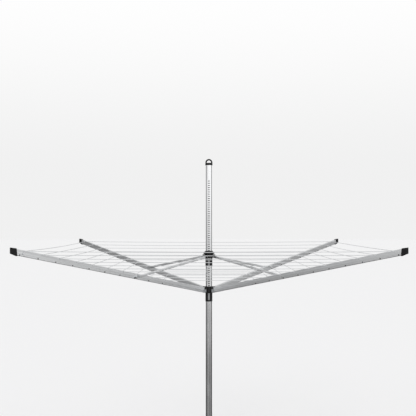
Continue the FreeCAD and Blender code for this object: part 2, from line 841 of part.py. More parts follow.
def line_end_clip(azimuth):
    """Small clip on the arm's side under the outermost lap that grips the line's end."""
    along = lap_point(0)[0]
    low = ARM_WIDTH / 2
    clip = block((along - 7, low, -6), (along + 7, low + 6, 6))
    sides = [e for e in clip.Edges if abs(e.tangentAt(e.FirstParameter).y) > 0.9]
    return on_arm(clip.makeFillet(2, sides), azimuth)


# ---------------------------------------------------------------- the whole object
def single_pieces():
    """Pieces that the object has one of."""
    makers = (
        ground_socket_tube,
        ground_socket_spike,
        ground_socket_collar,
        ground_socket_foot_bush,
        mast_tube,
        mast_foot_plug,
        mast_top_cap,
        hanging_loop,
        height_collar_sleeve,
        height_collar_rings,
        height_collar_bush,
        height_lever,
        height_lever_pin,
        height_lever_spring,
        lower_hub_body,
        lower_hub_bush,
        lower_hub_pins,
        lower_hub_sleeve,
        release_lever,
        release_lever_pin,
        release_lever_spring,
        upper_hub_shell,
        upper_hub_carrier,
        upper_hub_bush,
        upper_hub_pins,
    )
    return {maker.__name__: maker() for maker in makers}


def arm_pieces():
    """Pieces that repeat on every arm, numbered by azimuth."""
    makers = {
        "arm_{}_profile": arm_profile,
        "arm_{}_root_fitting": arm_root_fitting,
        "arm_{}_end_cap": arm_end_cap,
        "arm_{}_line_clips": arm_line_clips,
        "arm_{}_strut_pin": arm_strut_pin,
        "strut_{}_tube": strut_tube,
        "strut_{}_ends": strut_ends,
        "line_laps_{}": line_laps,
    }
    pieces = {}
    for number, azimuth in enumerate(ARM_AZIMUTHS, start=1):
        for name, maker in makers.items():
            pieces[name.format(number)] = maker(azimuth)
    pieces["line_end_clip"] = line_end_clip(ARM_AZIMUTHS[2])
    return pieces


def main():
    """Writes one STEP file per piece."""
    os.makedirs("parts", exist_ok=True)
    pieces = {**single_pieces(), **arm_pieces()}
    for name, shape in pieces.items():
        shape.exportStep("parts/" + name + ".step")
        state = "valid" if shape.isValid() else "INVALID"
        print(name, state, len(shape.Solids), "solids", round(shape.Volume), "mm3")


main()
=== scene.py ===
"""Looks of the rotary clothesline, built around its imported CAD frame.

Metres, +Z up, the mast on the Z axis and the lawn at zero. The CAD nodes keep their shapes and
take their finishes here. The drying line is modelled again as covered cord with a slight sag.
"""
import json
import logging
import math
from dataclasses import dataclass, field
from enum import Enum
from typing import Any, ClassVar, Dict, List, Optional, Sequence, Tuple, Union

import bpy
from mathutils import Matrix, Vector


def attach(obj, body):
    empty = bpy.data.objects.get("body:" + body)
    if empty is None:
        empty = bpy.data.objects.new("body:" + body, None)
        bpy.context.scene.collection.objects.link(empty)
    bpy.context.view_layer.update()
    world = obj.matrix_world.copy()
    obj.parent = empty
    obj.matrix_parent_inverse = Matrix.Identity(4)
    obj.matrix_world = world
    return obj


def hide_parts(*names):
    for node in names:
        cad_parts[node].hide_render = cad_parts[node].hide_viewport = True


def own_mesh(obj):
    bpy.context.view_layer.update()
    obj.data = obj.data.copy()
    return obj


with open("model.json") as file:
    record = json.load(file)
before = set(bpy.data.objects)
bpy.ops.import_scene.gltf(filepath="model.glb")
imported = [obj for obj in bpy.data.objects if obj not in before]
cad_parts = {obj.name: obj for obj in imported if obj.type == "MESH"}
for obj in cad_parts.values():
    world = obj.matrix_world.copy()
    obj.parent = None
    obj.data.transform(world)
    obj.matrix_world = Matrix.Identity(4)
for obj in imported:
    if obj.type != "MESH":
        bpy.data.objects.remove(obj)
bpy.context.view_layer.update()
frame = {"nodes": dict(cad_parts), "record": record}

LOG = logging.getLogger("clothesline")

Colour = Tuple[float, float, float]
Stretch = Tuple[float, float, float]
Range = Tuple[float, float]
Value = Union["Signal", float, Sequence[float]]
Inputs = Dict[Union[int, str], Value]

ARM_AZIMUTHS: Tuple[float, ...] = (45.0, 135.0, 225.0, 315.0)
ARM_ELEVATION = 11.77
HUB_HEIGHT = 1.0
WHITE: Colour = (1.0, 1.0, 1.0)
FULL_TURN = 2.0 * math.pi


def scaled(colour: Colour, share: float) -> Colour:
    """A colour made darker or lighter, up to white."""
    return tuple(min(1.0, share * part) for part in colour)


# ---------------------------------------------------------------- shader building
class Axis(Enum):
    """Part of a vector, by its number on the node that splits it."""

    X = 0
    Y = 1
    Z = 2


@dataclass(frozen=True)
class Lie:
    """How a member lies: its length's azimuth and elevation, in degrees, and its origin's level."""

    azimuth: float = 0.0
    elevation: float = 90.0
    level: float = 0.0


UPRIGHT = Lie()
LEVEL = Lie(elevation=0.0)


class Signal:
    """Output of a shader node whose arithmetic adds Math nodes."""

    def __init__(self, recipe: "Recipe", socket: bpy.types.NodeSocket) -> None:
        """Keeps the socket and the recipe that it belongs to."""
        self.recipe = recipe
        self.socket = socket

    def _maths(self, operation: str, first: Value, second: Value = 0.0) -> "Signal":
        """One Math node on two values.

        Args:
            operation: the Math node's operation.
            first: left operand.
            second: right operand.

        Returns:
            The node's result.
        """
        return self.recipe.node("ShaderNodeMath", {"operation": operation}, {0: first, 1: second})

    def __add__(self, other: Value) -> "Signal":
        """Sum."""
        return self._maths("ADD", self, other)

    def __radd__(self, other: Value) -> "Signal":
        """Reflected sum."""
        return self._maths("ADD", other, self)

    def __sub__(self, other: Value) -> "Signal":
        """Difference."""
        return self._maths("SUBTRACT", self, other)

    def __rsub__(self, other: Value) -> "Signal":
        """Reflected difference."""
        return self._maths("SUBTRACT", other, self)

    def __mul__(self, other: Value) -> "Signal":
        """Product."""
        return self._maths("MULTIPLY", self, other)

    def __rmul__(self, other: Value) -> "Signal":
        """Reflected product."""
        return self._maths("MULTIPLY", other, self)

    def __pow__(self, other: Value) -> "Signal":
        """Power."""
        return self._maths("POWER", self, other)

    def wave(self) -> "Signal":
        """Sine."""
        return self._maths("SINE", self)


class Recipe:
    """Node tree of one finish, filled node by node."""

    def __init__(self, name: str, tree: Optional[bpy.types.NodeTree] = None) -> None:
        """Starts a material with a Principled shader, or fills the tree that is given.

        Args:
            name: name of the material.
            tree: node tree to fill in place of a new material's.
        """
        if tree is None:
            self.material = bpy.data.materials.new(name)
            self.material.use_nodes = True
            tree = self.material.node_tree
        self.tree = tree
        self.shader = tree.nodes.get("Principled BSDF")

    def node(
        self,
        kind: str,
        settings: Optional[Dict[str, Any]] = None,
        inputs: Optional[Inputs] = None,
        output: Optional[int] = 0,
    ) -> Optional[Signal]:
        """Adds a node.

        Args:
            kind: the node's type.
            settings: properties that are set first.
            inputs: values or signals of its sockets.
            output: number of the output that is wanted.

        Returns:
            That output, or nothing where none is asked for.
        """
        made = self.tree.nodes.new(kind)
        for key, value in (settings or {}).items():
            setattr(made, key, value)
        for key, value in (inputs or {}).items():
            self.feed(made.inputs[key], value)
        return None if output is None else Signal(self, made.outputs[output])

    def feed(self, socket: bpy.types.NodeSocket, value: Value) -> None:
        """Links a signal to a socket, or sets the socket's own value.

        Args:
            socket: the input.
            value: a signal, a number, a colour or a vector.
        """
        if isinstance(value, Signal):
            self.tree.links.new(value.socket, socket)
        elif isinstance(value, (int, float)):
            socket.default_value = value
        elif socket.type == "RGBA":
            socket.default_value = (*value, 1.0)
        else:
            socket.default_value = value

    def set(self, **values: Value) -> None:
        """Sets or links the shader's sockets, whose names have _ for a space."""
        for key, value in values.items():
            self.feed(self.shader.inputs[key.replace("_", " ")], value)

    def place(self, spot: Lie, stretch: Stretch = (1.0, 1.0, 1.0)) -> Signal:
        """Object coordinates turned so that X runs along a member.

        Args:
            spot: how the member lies.
            stretch: length that one unit of the pattern covers along each axis.

        Returns:
            The coordinates.
        """
        inputs: Inputs = {
            "Vector": self.node("ShaderNodeTexCoord", output=3),
            "Location": (0.0, 0.0, spot.level),
            "Rotation": (0.0, -math.radians(spot.elevation), math.radians(spot.azimuth)),
            "Scale": stretch,
        }
        return self.node("ShaderNodeMapping", {"vector_type": "TEXTURE"}, inputs)

    def part(self, vector: Signal, axis: Axis) -> Signal:
        """One part of a vector."""
        return self.node("ShaderNodeSeparateXYZ", None, {"Vector": vector}, axis.value)

    def from_mast(self) -> Signal:
        """Distance from the mast's axis."""
        where = self.place(LEVEL)
        east = self.part(where, Axis.X)
        north = self.part(where, Axis.Y)
        return (east * east + north * north) ** 0.5

    def noise(self, where: Signal, scale: float, detail: float = 2.0, rough: float = 0.5) -> Signal:
        """Noise between zero and one."""
        inputs: Inputs = {"Vector": where, "Scale": scale, "Detail": detail, "Roughness": rough}
        return self.node("ShaderNodeTexNoise", None, inputs)

    def mask(self, signal: Signal, edge: Range) -> Signal:
        """Smooth step of a signal from zero to one over an edge."""
        inputs: Inputs = {"Value": signal, "From Min": edge[0], "From Max": edge[1]}
        return self.node("ShaderNodeMapRange", {"interpolation_type": "SMOOTHSTEP"}, inputs)

    def span(self, signal: Signal, low: float, high: float) -> Signal:
        """A zero-to-one signal stretched from low to high."""
        return signal * (high - low) + low

    def mix(self, share: Value, first: Value, second: Value) -> Signal:
        """Mix of two colours."""
        inputs: Inputs = {0: share, 6: first, 7: second}
        return self.node("ShaderNodeMix", {"data_type": "RGBA"}, inputs, 2)

    def relief(self, height: Signal, depth: float, over: Optional[Signal] = None) -> Signal:
        """Bumped normal.

        Args:
            height: zero-to-one height.
            depth: depth of the relief in metres.
            over: normal that the relief lies on.

        Returns:
            The normal.
        """
        inputs: Inputs = {"Height": height, "Distance": depth, "Strength": 1.0}
        if over is not None:
            inputs["Normal"] = over
        return self.node("ShaderNodeBump", None, inputs)

    def soft_edges(self, radius: float) -> Signal:
        """Normal with rounded edges."""
        return self.node("ShaderNodeBevel", {"samples": 4}, {"Radius": radius})


# ---------------------------------------------------------------- finishes
@dataclass(frozen=True)
class DrawnAluminium:
    """Extruded or drawn aluminium with fine lines along its length and dull patches, and painted
    shade in the mast's bore where a shade radius is given.
    """

    name: str
    colour: Colour
    roughness: float = 0.3
    streak: float = 0.05
    lie: Lie = UPRIGHT
    # painted shade: dark colour within this radius of the mast's axis, in the bore and slots
    bore_shade_radius: float = 0.0
    bore_shade_edge: float = 0.0003
    bore_shade_colour: Colour = (0.03, 0.03, 0.032)
    line_size: Stretch = (0.35, 0.0009, 0.0009)
    band_size: Stretch = (0.9, 0.006, 0.006)
    patch_size: Stretch = (0.22, 0.05, 0.05)
    mark_size: Stretch = (0.02, 0.0016, 0.0016)
    line_detail: float = 3.0
    patch_detail: float = 4.0
    fine_rough: float = 0.6
    mark_edge: Range = (0.71, 0.76)
    dull_edge: Range = (0.46, 0.72)
    tone_edge: Range = (0.36, 0.64)
    band_share: float = 0.6
    line_share: float = 0.4
    dark_share: float = 0.84
    pale_share: float = 1.1
    dull_share: float = 0.9
    dull_strength: float = 0.35
    mark_strength: float = 0.5
    dull_rough: float = 0.09
    mark_polish: float = 0.08
    line_depth: float = 0.00003

    def material(self) -> bpy.types.Material:
        """Builds the finish.

        Returns:
            The material.
        """
        recipe = Recipe(self.name)
        lines = recipe.noise(
            recipe.place(self.lie, self.line_size), 1.0, self.line_detail, self.fine_rough
        )
        bands = recipe.noise(recipe.place(self.lie, self.band_size), 1.0)
        patches = recipe.noise(
            recipe.place(self.lie, self.patch_size), 1.0, self.patch_detail, self.fine_rough
        )
        scratches = recipe.noise(recipe.place(self.lie, self.mark_size), 1.0, 1.0)
        marks = recipe.mask(scratches, self.mark_edge)
        dull = recipe.mask(patches, self.dull_edge)
        dark = scaled(self.colour, self.dark_share)
        pale = scaled(self.colour, self.pale_share)
        grain = bands * self.band_share + lines * self.line_share
        tone = recipe.mix(recipe.mask(grain, self.tone_edge), dark, pale)
        tone = recipe.mix(dull * self.dull_strength, tone, scaled(self.colour, self.dull_share))
        tone = recipe.mix(marks * self.mark_strength, tone, pale)
        rough = recipe.span(lines, self.roughness - self.streak, self.roughness + self.streak)
        rough = rough + dull * self.dull_rough - marks * self.mark_polish
        normal = recipe.relief(lines, self.line_depth)
        recipe.set(Base_Color=tone, Roughness=rough, Normal=normal, Metallic=1.0)
        # painted shade in the mast's bore and slots
        if self.bore_shade_radius > 0.0:
            self._paint_bore_shade(recipe, tone)
        return recipe.material

    def _paint_bore_shade(self, recipe: Recipe, tone: Signal) -> None:
        """Paints shade into the mast's bore and slots: within a radius of the mast's axis the
        colour turns dark and not metallic.

        Args:
            recipe: the finish's nodes.
            tone: colour of the outside.
        """
        edge = (self.bore_shade_radius - self.bore_shade_edge, self.bore_shade_radius)
        outside = recipe.mask(recipe.from_mast(), edge)
        # the dark, non-metallic colour inside the radius is painted shade
        recipe.set(Base_Color=recipe.mix(outside, self.bore_shade_colour, tone), Metallic=outside)


@dataclass(frozen=True)
class CastMetal:
    """Die-cast aluminium with a fine grain and soft edges."""

    name: str
    colour: Colour
    roughness: Range = (0.42, 0.6)
    grain_scale: float = 1400.0
    cloud_scale: float = 60.0
    cloud_detail: float = 4.0
    cloud_rough: float = 0.6
    cloud_edge: Range = (0.35, 0.68)
    dark_share: float = 0.8
    grain_depth: float = 0.0001
    edge_radius: float = 0.0008

    def cloud(self, recipe: Recipe, where: Signal) -> Signal:
        """Cloudy pattern of the casting."""
        return recipe.noise(where, self.cloud_scale, self.cloud_detail, self.cloud_rough)

    def metal(self, recipe: Recipe, cloud: Signal) -> Signal:
        """Colour of the bare casting."""
        dark = scaled(self.colour, self.dark_share)
        return recipe.mix(recipe.mask(cloud, self.cloud_edge), dark, self.colour)

    def skin(self, recipe: Recipe, where: Signal) -> Signal:
        """Grainy normal with soft edges."""
        grain = recipe.noise(where, self.grain_scale)
        return recipe.relief(grain, self.grain_depth, recipe.soft_edges(self.edge_radius))

    def material(self) -> bpy.types.Material:
        """Builds the finish.

        Returns:
            The material.
        """
        recipe = Recipe(self.name)
        where = recipe.place(UPRIGHT)
        cloud = self.cloud(recipe, where)
        tone = self.metal(recipe, cloud)
        rough = recipe.span(cloud, *self.roughness)
        recipe.set(Base_Color=tone, Roughness=rough, Normal=self.skin(recipe, where), Metallic=1.0)
        return recipe.material


@dataclass(frozen=True)
class CoatedCasting(CastMetal):
    """Casting with a black powder coat near the mast and bare metal beyond it."""

    roughness: Range = (0.4, 0.56)
    grain_depth: float = 0.00008
    coat: Colour = (0.008, 0.0083, 0.009)
    reach: float = 0.058
    fade: float = 0.0008
    worn_share: float = 3.0
    worn_edge: Range = (0.5, 0.8)
    worn_strength: float = 0.3
    sheen: float = 0.3

    def material(self) -> bpy.types.Material:
        """Builds the finish.

        Returns:
            The material.
        """
        recipe = Recipe(self.name)
        where = recipe.place(LEVEL)
        bare = recipe.mask(recipe.from_mast(), (self.reach - self.fade, self.reach + self.fade))
        cloud = self.cloud(recipe, where)
        worn = recipe.mask(cloud, self.worn_edge) * self.worn_strength
        coat = recipe.mix(worn, self.coat, scaled(self.coat, self.worn_share))
        tone = recipe.mix(bare, coat, self.metal(recipe, cloud))
        rough = recipe.span(cloud, *self.roughness)
        recipe.set(Base_Color=tone, Roughness=rough, Normal=self.skin(recipe, where), Metallic=bare)
        recipe.set(Specular_IOR_Level=self.sheen)
        return recipe.material


@dataclass(frozen=True)
class ZincCoat:
    """Hot-dip or plated zinc: spangled crystals with a dull bloom."""

    name: str
    colour: Colour
    spangle: float = 90.0
    contrast: float = 0.3
    bloom_colour: Colour = (0.66, 0.67, 0.68)
    bloom_scale: float = 24.0
    bloom_detail: float = 5.0
    bloom_rough: float = 0.65
    bloom_edge: Range = (0.5, 0.75)
    bloom_strength: float = 0.4
    dull_edge: Range = (0.45, 0.75)
    dull_rough: float = 0.16
    roughness: Range = (0.32, 0.5)
    pit_scale: float = 700.0
    pit_depth: float = 0.00004

    def material(self) -> bpy.types.Material:
        """Builds the finish.

        Returns:
            The material.
        """
        recipe = Recipe(self.name)
        where = recipe.place(UPRIGHT)
        inputs: Inputs = {"Vector": where, "Scale": self.spangle}
        crystal = recipe.node("ShaderNodeTexVoronoi", None, inputs, 1)
        shade = recipe.node("ShaderNodeSeparateColor", None, {"Color": crystal})
        bloom = recipe.noise(where, self.bloom_scale, self.bloom_detail, self.bloom_rough)
        tone = recipe.mix(shade, scaled(self.colour, 1.0 - self.contrast), self.colour)
        bloomed = recipe.mask(bloom, self.bloom_edge) * self.bloom_strength
        tone = recipe.mix(bloomed, tone, self.bloom_colour)
        rough = recipe.span(shade, *self.roughness)
        rough = rough + recipe.mask(bloom, self.dull_edge) * self.dull_rough
        normal = recipe.relief(recipe.noise(where, self.pit_scale), self.pit_depth)
        recipe.set(Base_Color=tone, Roughness=rough, Normal=normal, Metallic=1.0)
        return recipe.material


@dataclass(frozen=True)
class BrightTrim:
    """Bright plated ring with faint hairlines round it."""

    name: str
    colour: Colour
    haze_colour: Colour = (0.6, 0.6, 0.61)
    hair_size: Stretch = (0.0003, 0.05, 0.05)
    haze_scale: float = 160.0
    haze_detail: float = 3.0
    haze_edge: Range = (0.4, 0.7)
    haze_strength: float = 0.3
    dull_edge: Range = (0.5, 0.8)
    dull_rough: float = 0.1
    roughness: Range = (0.1, 0.24)
    hair_depth: float = 0.00001
    edge_radius: float = 0.0004

    def material(self) -> bpy.types.Material:
        """Builds the finish.

        Returns:
            The material.
        """
        recipe = Recipe(self.name)
        hair = recipe.noise(recipe.place(UPRIGHT, self.hair_size), 1.0)
        haze = recipe.noise(recipe.place(UPRIGHT), self.haze_scale, self.haze_detail)
        hazed = recipe.mask(haze, self.haze_edge) * self.haze_strength
        tone = recipe.mix(hazed, self.colour, self.haze_colour)
        rough = recipe.span(hair, *self.roughness)
        rough = rough + recipe.mask(haze, self.dull_edge) * self.dull_rough
        normal = recipe.relief(hair, self.hair_depth, recipe.soft_edges(self.edge_radius))
        recipe.set(Base_Color=tone, Roughness=rough, Normal=normal, Metallic=1.0)
        return recipe.material


@dataclass(frozen=True)
class MouldedPlastic:
    """Satin moulded plastic with a fine spark grain, rubbed spots and a little dust."""

    name: str
    colour: Colour
    worn: Colour
    roughness: float = 0.42
    grain: float = 0.00006
    sheen: float = 0.22
    spark_scale: float = 1900.0
    cloud_scale: float = 38.0
    cloud_detail: float = 4.0
    fine_rough: float = 0.6
    rub_size: Stretch = (0.02, 0.004, 0.004)
    rub_edge: Range = (0.6, 0.76)
    rub_strength: float = 0.3
    rub_polish: float = 0.1
    dust_edge: Range = (0.48, 0.78)
    dust_strength: float = 0.22
    dust_rough: float = 0.14
    smoother: float = 0.05
    rougher: float = 0.07
    edge_radius: float = 0.0009

    def material(self) -> bpy.types.Material:
        """Builds the finish.

        Returns:
            The material.
        """
        recipe = Recipe(self.name)
        where = recipe.place(UPRIGHT)
        spark = recipe.noise(where, self.spark_scale, rough=self.fine_rough)
        cloud = recipe.noise(where, self.cloud_scale, self.cloud_detail, self.fine_rough)
        rubbed = recipe.mask(
            recipe.noise(recipe.place(UPRIGHT, self.rub_size), 1.0), self.rub_edge
        )
        dust = recipe.mask(cloud, self.dust_edge)
        share = rubbed * self.rub_strength + dust * self.dust_strength
        tone = recipe.mix(share, self.colour, self.worn)
        rough = recipe.span(spark, self.roughness - self.smoother, self.roughness + self.rougher)
        rough = rough + dust * self.dust_rough - rubbed * self.rub_polish
        normal = recipe.relief(spark, self.grain, recipe.soft_edges(self.edge_radius))
        recipe.set(Base_Color=tone, Roughness=rough, Normal=normal)
        recipe.set(Specular_IOR_Level=self.sheen)
        return recipe.material


@dataclass(frozen=True)
class ClipPlastic:
    """Clips along an arm: pale eyelets above the profile's middle, black rivets below it."""

    name: str
    pale: Colour
    black: Colour
    lie: Lie = UPRIGHT
    dust_colour: Colour = (0.3, 0.3, 0.3)
    parting: Range = (-0.002, 0.002)
    spark_scale: float = 1900.0
    cloud_scale: float = 70.0
    cloud_detail: float = 4.0
    fine_rough: float = 0.6
    dust_edge: Range = (0.45, 0.8)
    dust_strength: float = 0.2
    roughness: Range = (0.36, 0.52)
    grain: float = 0.00004
    edge_radius: float = 0.0003
    sheen: float = 0.35

    def material(self) -> bpy.types.Material:
        """Builds the finish.

        Returns:
            The material.
        """
        recipe = Recipe(self.name)
        eyelet = recipe.mask(recipe.part(recipe.place(self.lie), Axis.Z), self.parting)
        where = recipe.place(UPRIGHT)
        spark = recipe.noise(where, self.spark_scale, rough=self.fine_rough)
        cloud = recipe.noise(where, self.cloud_scale, self.cloud_detail, self.fine_rough)
        dust = recipe.mask(cloud, self.dust_edge) * self.dust_strength
        tone = recipe.mix(dust, recipe.mix(eyelet, self.black, self.pale), self.dust_colour)
        rough = recipe.span(cloud, *self.roughness)
        normal = recipe.relief(spark, self.grain, recipe.soft_edges(self.edge_radius))
        recipe.set(Base_Color=tone, Roughness=rough, Normal=normal)
        recipe.set(Specular_IOR_Level=self.sheen)
        return recipe.material


@dataclass(frozen=True)
class CoveredLine:
    """Smooth covered drying line whose twisted core shows as faint ribs."""

    name: str
    colour: Colour
    rib_pitch: float = 0.006
    rib_starts: float = 3.0
    rib_strength: float = 0.12
    rib_depth: float = 0.00012
    grime_share: float = 0.8
    grime_scale: float = 45.0
    grime_detail: float = 4.0
    grime_rough: float = 0.6
    grime_edge: Range = (0.5, 0.8)
    grime_strength: float = 0.5
    roughness: Range = (0.34, 0.55)

    def material(self) -> bpy.types.Material:
        """Builds the finish.

        Returns:
            The material.
        """
        recipe = Recipe(self.name)
        travel = recipe.node("ShaderNodeAttribute", {"attribute_name": "travel"}, output=2)
        turn = recipe.node("ShaderNodeAttribute", {"attribute_name": "turn"}, output=2)
        wave = (travel * (FULL_TURN / self.rib_pitch) + turn * self.rib_starts).wave()
        ribs = wave * 0.5 + 0.5
        where = recipe.place(UPRIGHT)
        cloud = recipe.noise(where, self.grime_scale, self.grime_detail, self.grime_rough)
        grey = scaled(self.colour, self.grime_share)
        grime = recipe.mask(cloud, self.grime_edge) * self.grime_strength
        tone = recipe.mix(ribs * self.rib_strength, recipe.mix(grime, self.colour, grey), grey)
        rough = recipe.span(cloud, *self.roughness)
        recipe.set(Base_Color=tone, Roughness=rough, Normal=recipe.relief(ribs, self.rib_depth))
        return recipe.material


# ---------------------------------------------------------------- modelling helpers
def choose_nothing() -> None:
    """Deselects every object and leaves edit mode."""
    if bpy.context.object is not None and bpy.context.object.mode != "OBJECT":
        bpy.ops.object.mode_set(mode="OBJECT")
    bpy.ops.object.select_all(action="DESELECT")


def choose(piece: bpy.types.Object) -> None:
    """Makes a piece the only selected and active object."""
    choose_nothing()
    piece.select_set(True)
    bpy.context.view_layer.objects.active = piece


def settle(piece: bpy.types.Object, name: str) -> bpy.types.Object:
    """Names a piece and puts its place into its mesh.

    Args:
        piece: the piece.
        name: its name.

    Returns:
        The same piece.
    """
    choose(piece)
    bpy.ops.object.transform_apply(location=True, rotation=True, scale=True)
    piece.name = name
    piece.data.name = name
    return piece


def dress(piece: bpy.types.Object, material: bpy.types.Material) -> None:
    """Gives a new piece its finish.

    Args:
        piece: the piece.
        material: its finish.
    """
    piece.data.materials.clear()
    piece.data.materials.append(material)


# ---------------------------------------------------------------- the CAD nodes' finishes
@dataclass
class FrameFinishes:
    """Finishes of the CAD nodes, by the record's material slots."""

    strut_elevation: float = -9.86
    upper_hinge_level: float = 1.2472
    # radius of the painted shade in the mast's bore and slots
    mast_bore_shade_radius: float = 0.0222
    aluminium: Colour = (0.84, 0.85, 0.86)
    mast: Colour = (0.86, 0.865, 0.875)
    casting: Colour = (0.66, 0.68, 0.7)
    trim: Colour = (0.86, 0.86, 0.87)
    hot_dip_zinc: Colour = (0.62, 0.63, 0.64)
    plated_zinc: Colour = (0.66, 0.66, 0.65)
    black: Colour = (0.008, 0.0083, 0.009)
    black_worn: Colour = (0.045, 0.047, 0.05)
    grey: Colour = (0.24, 0.245, 0.25)
    grey_worn: Colour = (0.36, 0.365, 0.37)
    pale: Colour = (0.62, 0.63, 0.64)
    pale_worn: Colour = (0.5, 0.5, 0.5)
    clip_pale: Colour = (0.6, 0.61, 0.62)
    made: Dict[str, bpy.types.Material] = field(default_factory=dict)

    def build(self) -> None:
        """Makes the shared finishes."""
        recipes = {
            "galvanised_steel": ZincCoat("galvanised_steel_spangled", self.hot_dip_zinc),
            "steel": ZincCoat("zinc_plated_steel", self.plated_zinc, spangle=420.0, contrast=0.16),
            "dark_plastic": MouldedPlastic("black_satin_plastic", self.black, self.black_worn),
            "grey_bush_plastic": MouldedPlastic(
                "grey_bearing_plastic", self.grey, self.grey_worn, roughness=0.34, grain=0.00002
            ),
            "grey_lever_plastic": MouldedPlastic(
                "grey_lever_plastic_satin", self.grey, self.grey_worn
            ),
            "pale_plastic": MouldedPlastic(
                "pale_satin_plastic", self.pale, self.pale_worn, roughness=0.4
            ),
            "mast_aluminium": DrawnAluminium(
                "mast_drawn_aluminium",
                self.mast,
                roughness=0.17,
                streak=0.04,
                # painted shade in the mast's bore and slots
                bore_shade_radius=self.mast_bore_shade_radius,
            ),
            "cast_aluminium": CastMetal("die_cast_aluminium", self.casting),
            "coated_casting": CoatedCasting("black_coated_casting", self.casting, coat=self.black),
            "bright_trim": BrightTrim("bright_plated_trim", self.trim),
        }
        for slot, recipe in recipes.items():
            self.made[slot] = recipe.material()

    def member(self, node: str, slot: str) -> bpy.types.Material:
        """Finish of an arm's or strut's piece that follows its length.

        Args:
            node: the CAD node's name, with the arm's number in it.
            slot: the record's slot of the node.

        Returns:
            The finish for that arm or strut.
        """
        number = int(node.split("_")[1])
        azimuth = ARM_AZIMUTHS[number - 1]
        key = f"{slot}_{number}"
        if key not in self.made:
            along_arm = Lie(azimuth, ARM_ELEVATION, HUB_HEIGHT)
            along_strut = Lie(azimuth, self.strut_elevation, self.upper_hinge_level)
            if slot == "dark_plastic":
                recipe = ClipPlastic(f"clips_{number}", self.clip_pale, self.black, along_arm)
            elif slot == "arm_aluminium":
                recipe = DrawnAluminium(key, self.aluminium, lie=along_arm)
            else:
                recipe = DrawnAluminium(key, self.aluminium, lie=along_strut)
            self.made[key] = recipe.material()
        return self.made[key]

    def finish_of(self, node: str, slot: str) -> bpy.types.Material:
        """Finish of a CAD node.

        Args:
            node: the CAD node's name.
            slot: the record's slot of the node.

        Returns:
            The finish.
        """
        if slot in ("arm_aluminium", "strut_aluminium") or node.endswith("line_clips"):
            return self.member(node, slot)
        if node == "upper_hub_carrier" or node.endswith("_ends"):
            return self.made["coated_casting"]
        return self.made[slot]

    def apply(self) -> None:
        """Assigns a finish to every CAD node's material slots."""
        slots = {part["node"]: part["material_slot"] for part in frame["record"]["subparts"]}
        for name, piece in frame["nodes"].items():
            if slots[name] == DryingLine.slot:
                continue
            material = self.finish_of(name, slots[name])
            for place in piece.material_slots:
                place.material = material
            LOG.info("%s takes %s", name, material.name)


# ---------------------------------------------------------------- the drying line
class Side(Enum):
    """Side of an arm, looking out along it."""

    LEFT = 1
    RIGHT = -1


@dataclass(frozen=True)
class LapGroup:
    """Laps that are swept together into one piece."""

    name: str
    laps: Tuple[int, ...]
    keep: float


@dataclass(frozen=True)
class HalfSpan:
    """One side of one arm, with the span that its laps run into."""

    arm: int
    side: Side

    @property
    def azimuth(self) -> float:
        """Azimuth of the arm in degrees."""
        return ARM_AZIMUTHS[self.arm - 1]

    @property
    def turn(self) -> Matrix:
        """Rotation from the arm's frame to the part's."""
        return Matrix.Rotation(math.radians(self.azimuth), 4, "Z")

    @property
    def span(self) -> int:
        """Number of the span, from arm 1 to arm 2 and on."""
        return (self.arm - 1 if self.side is Side.LEFT else self.arm - 2) % len(ARM_AZIMUTHS)


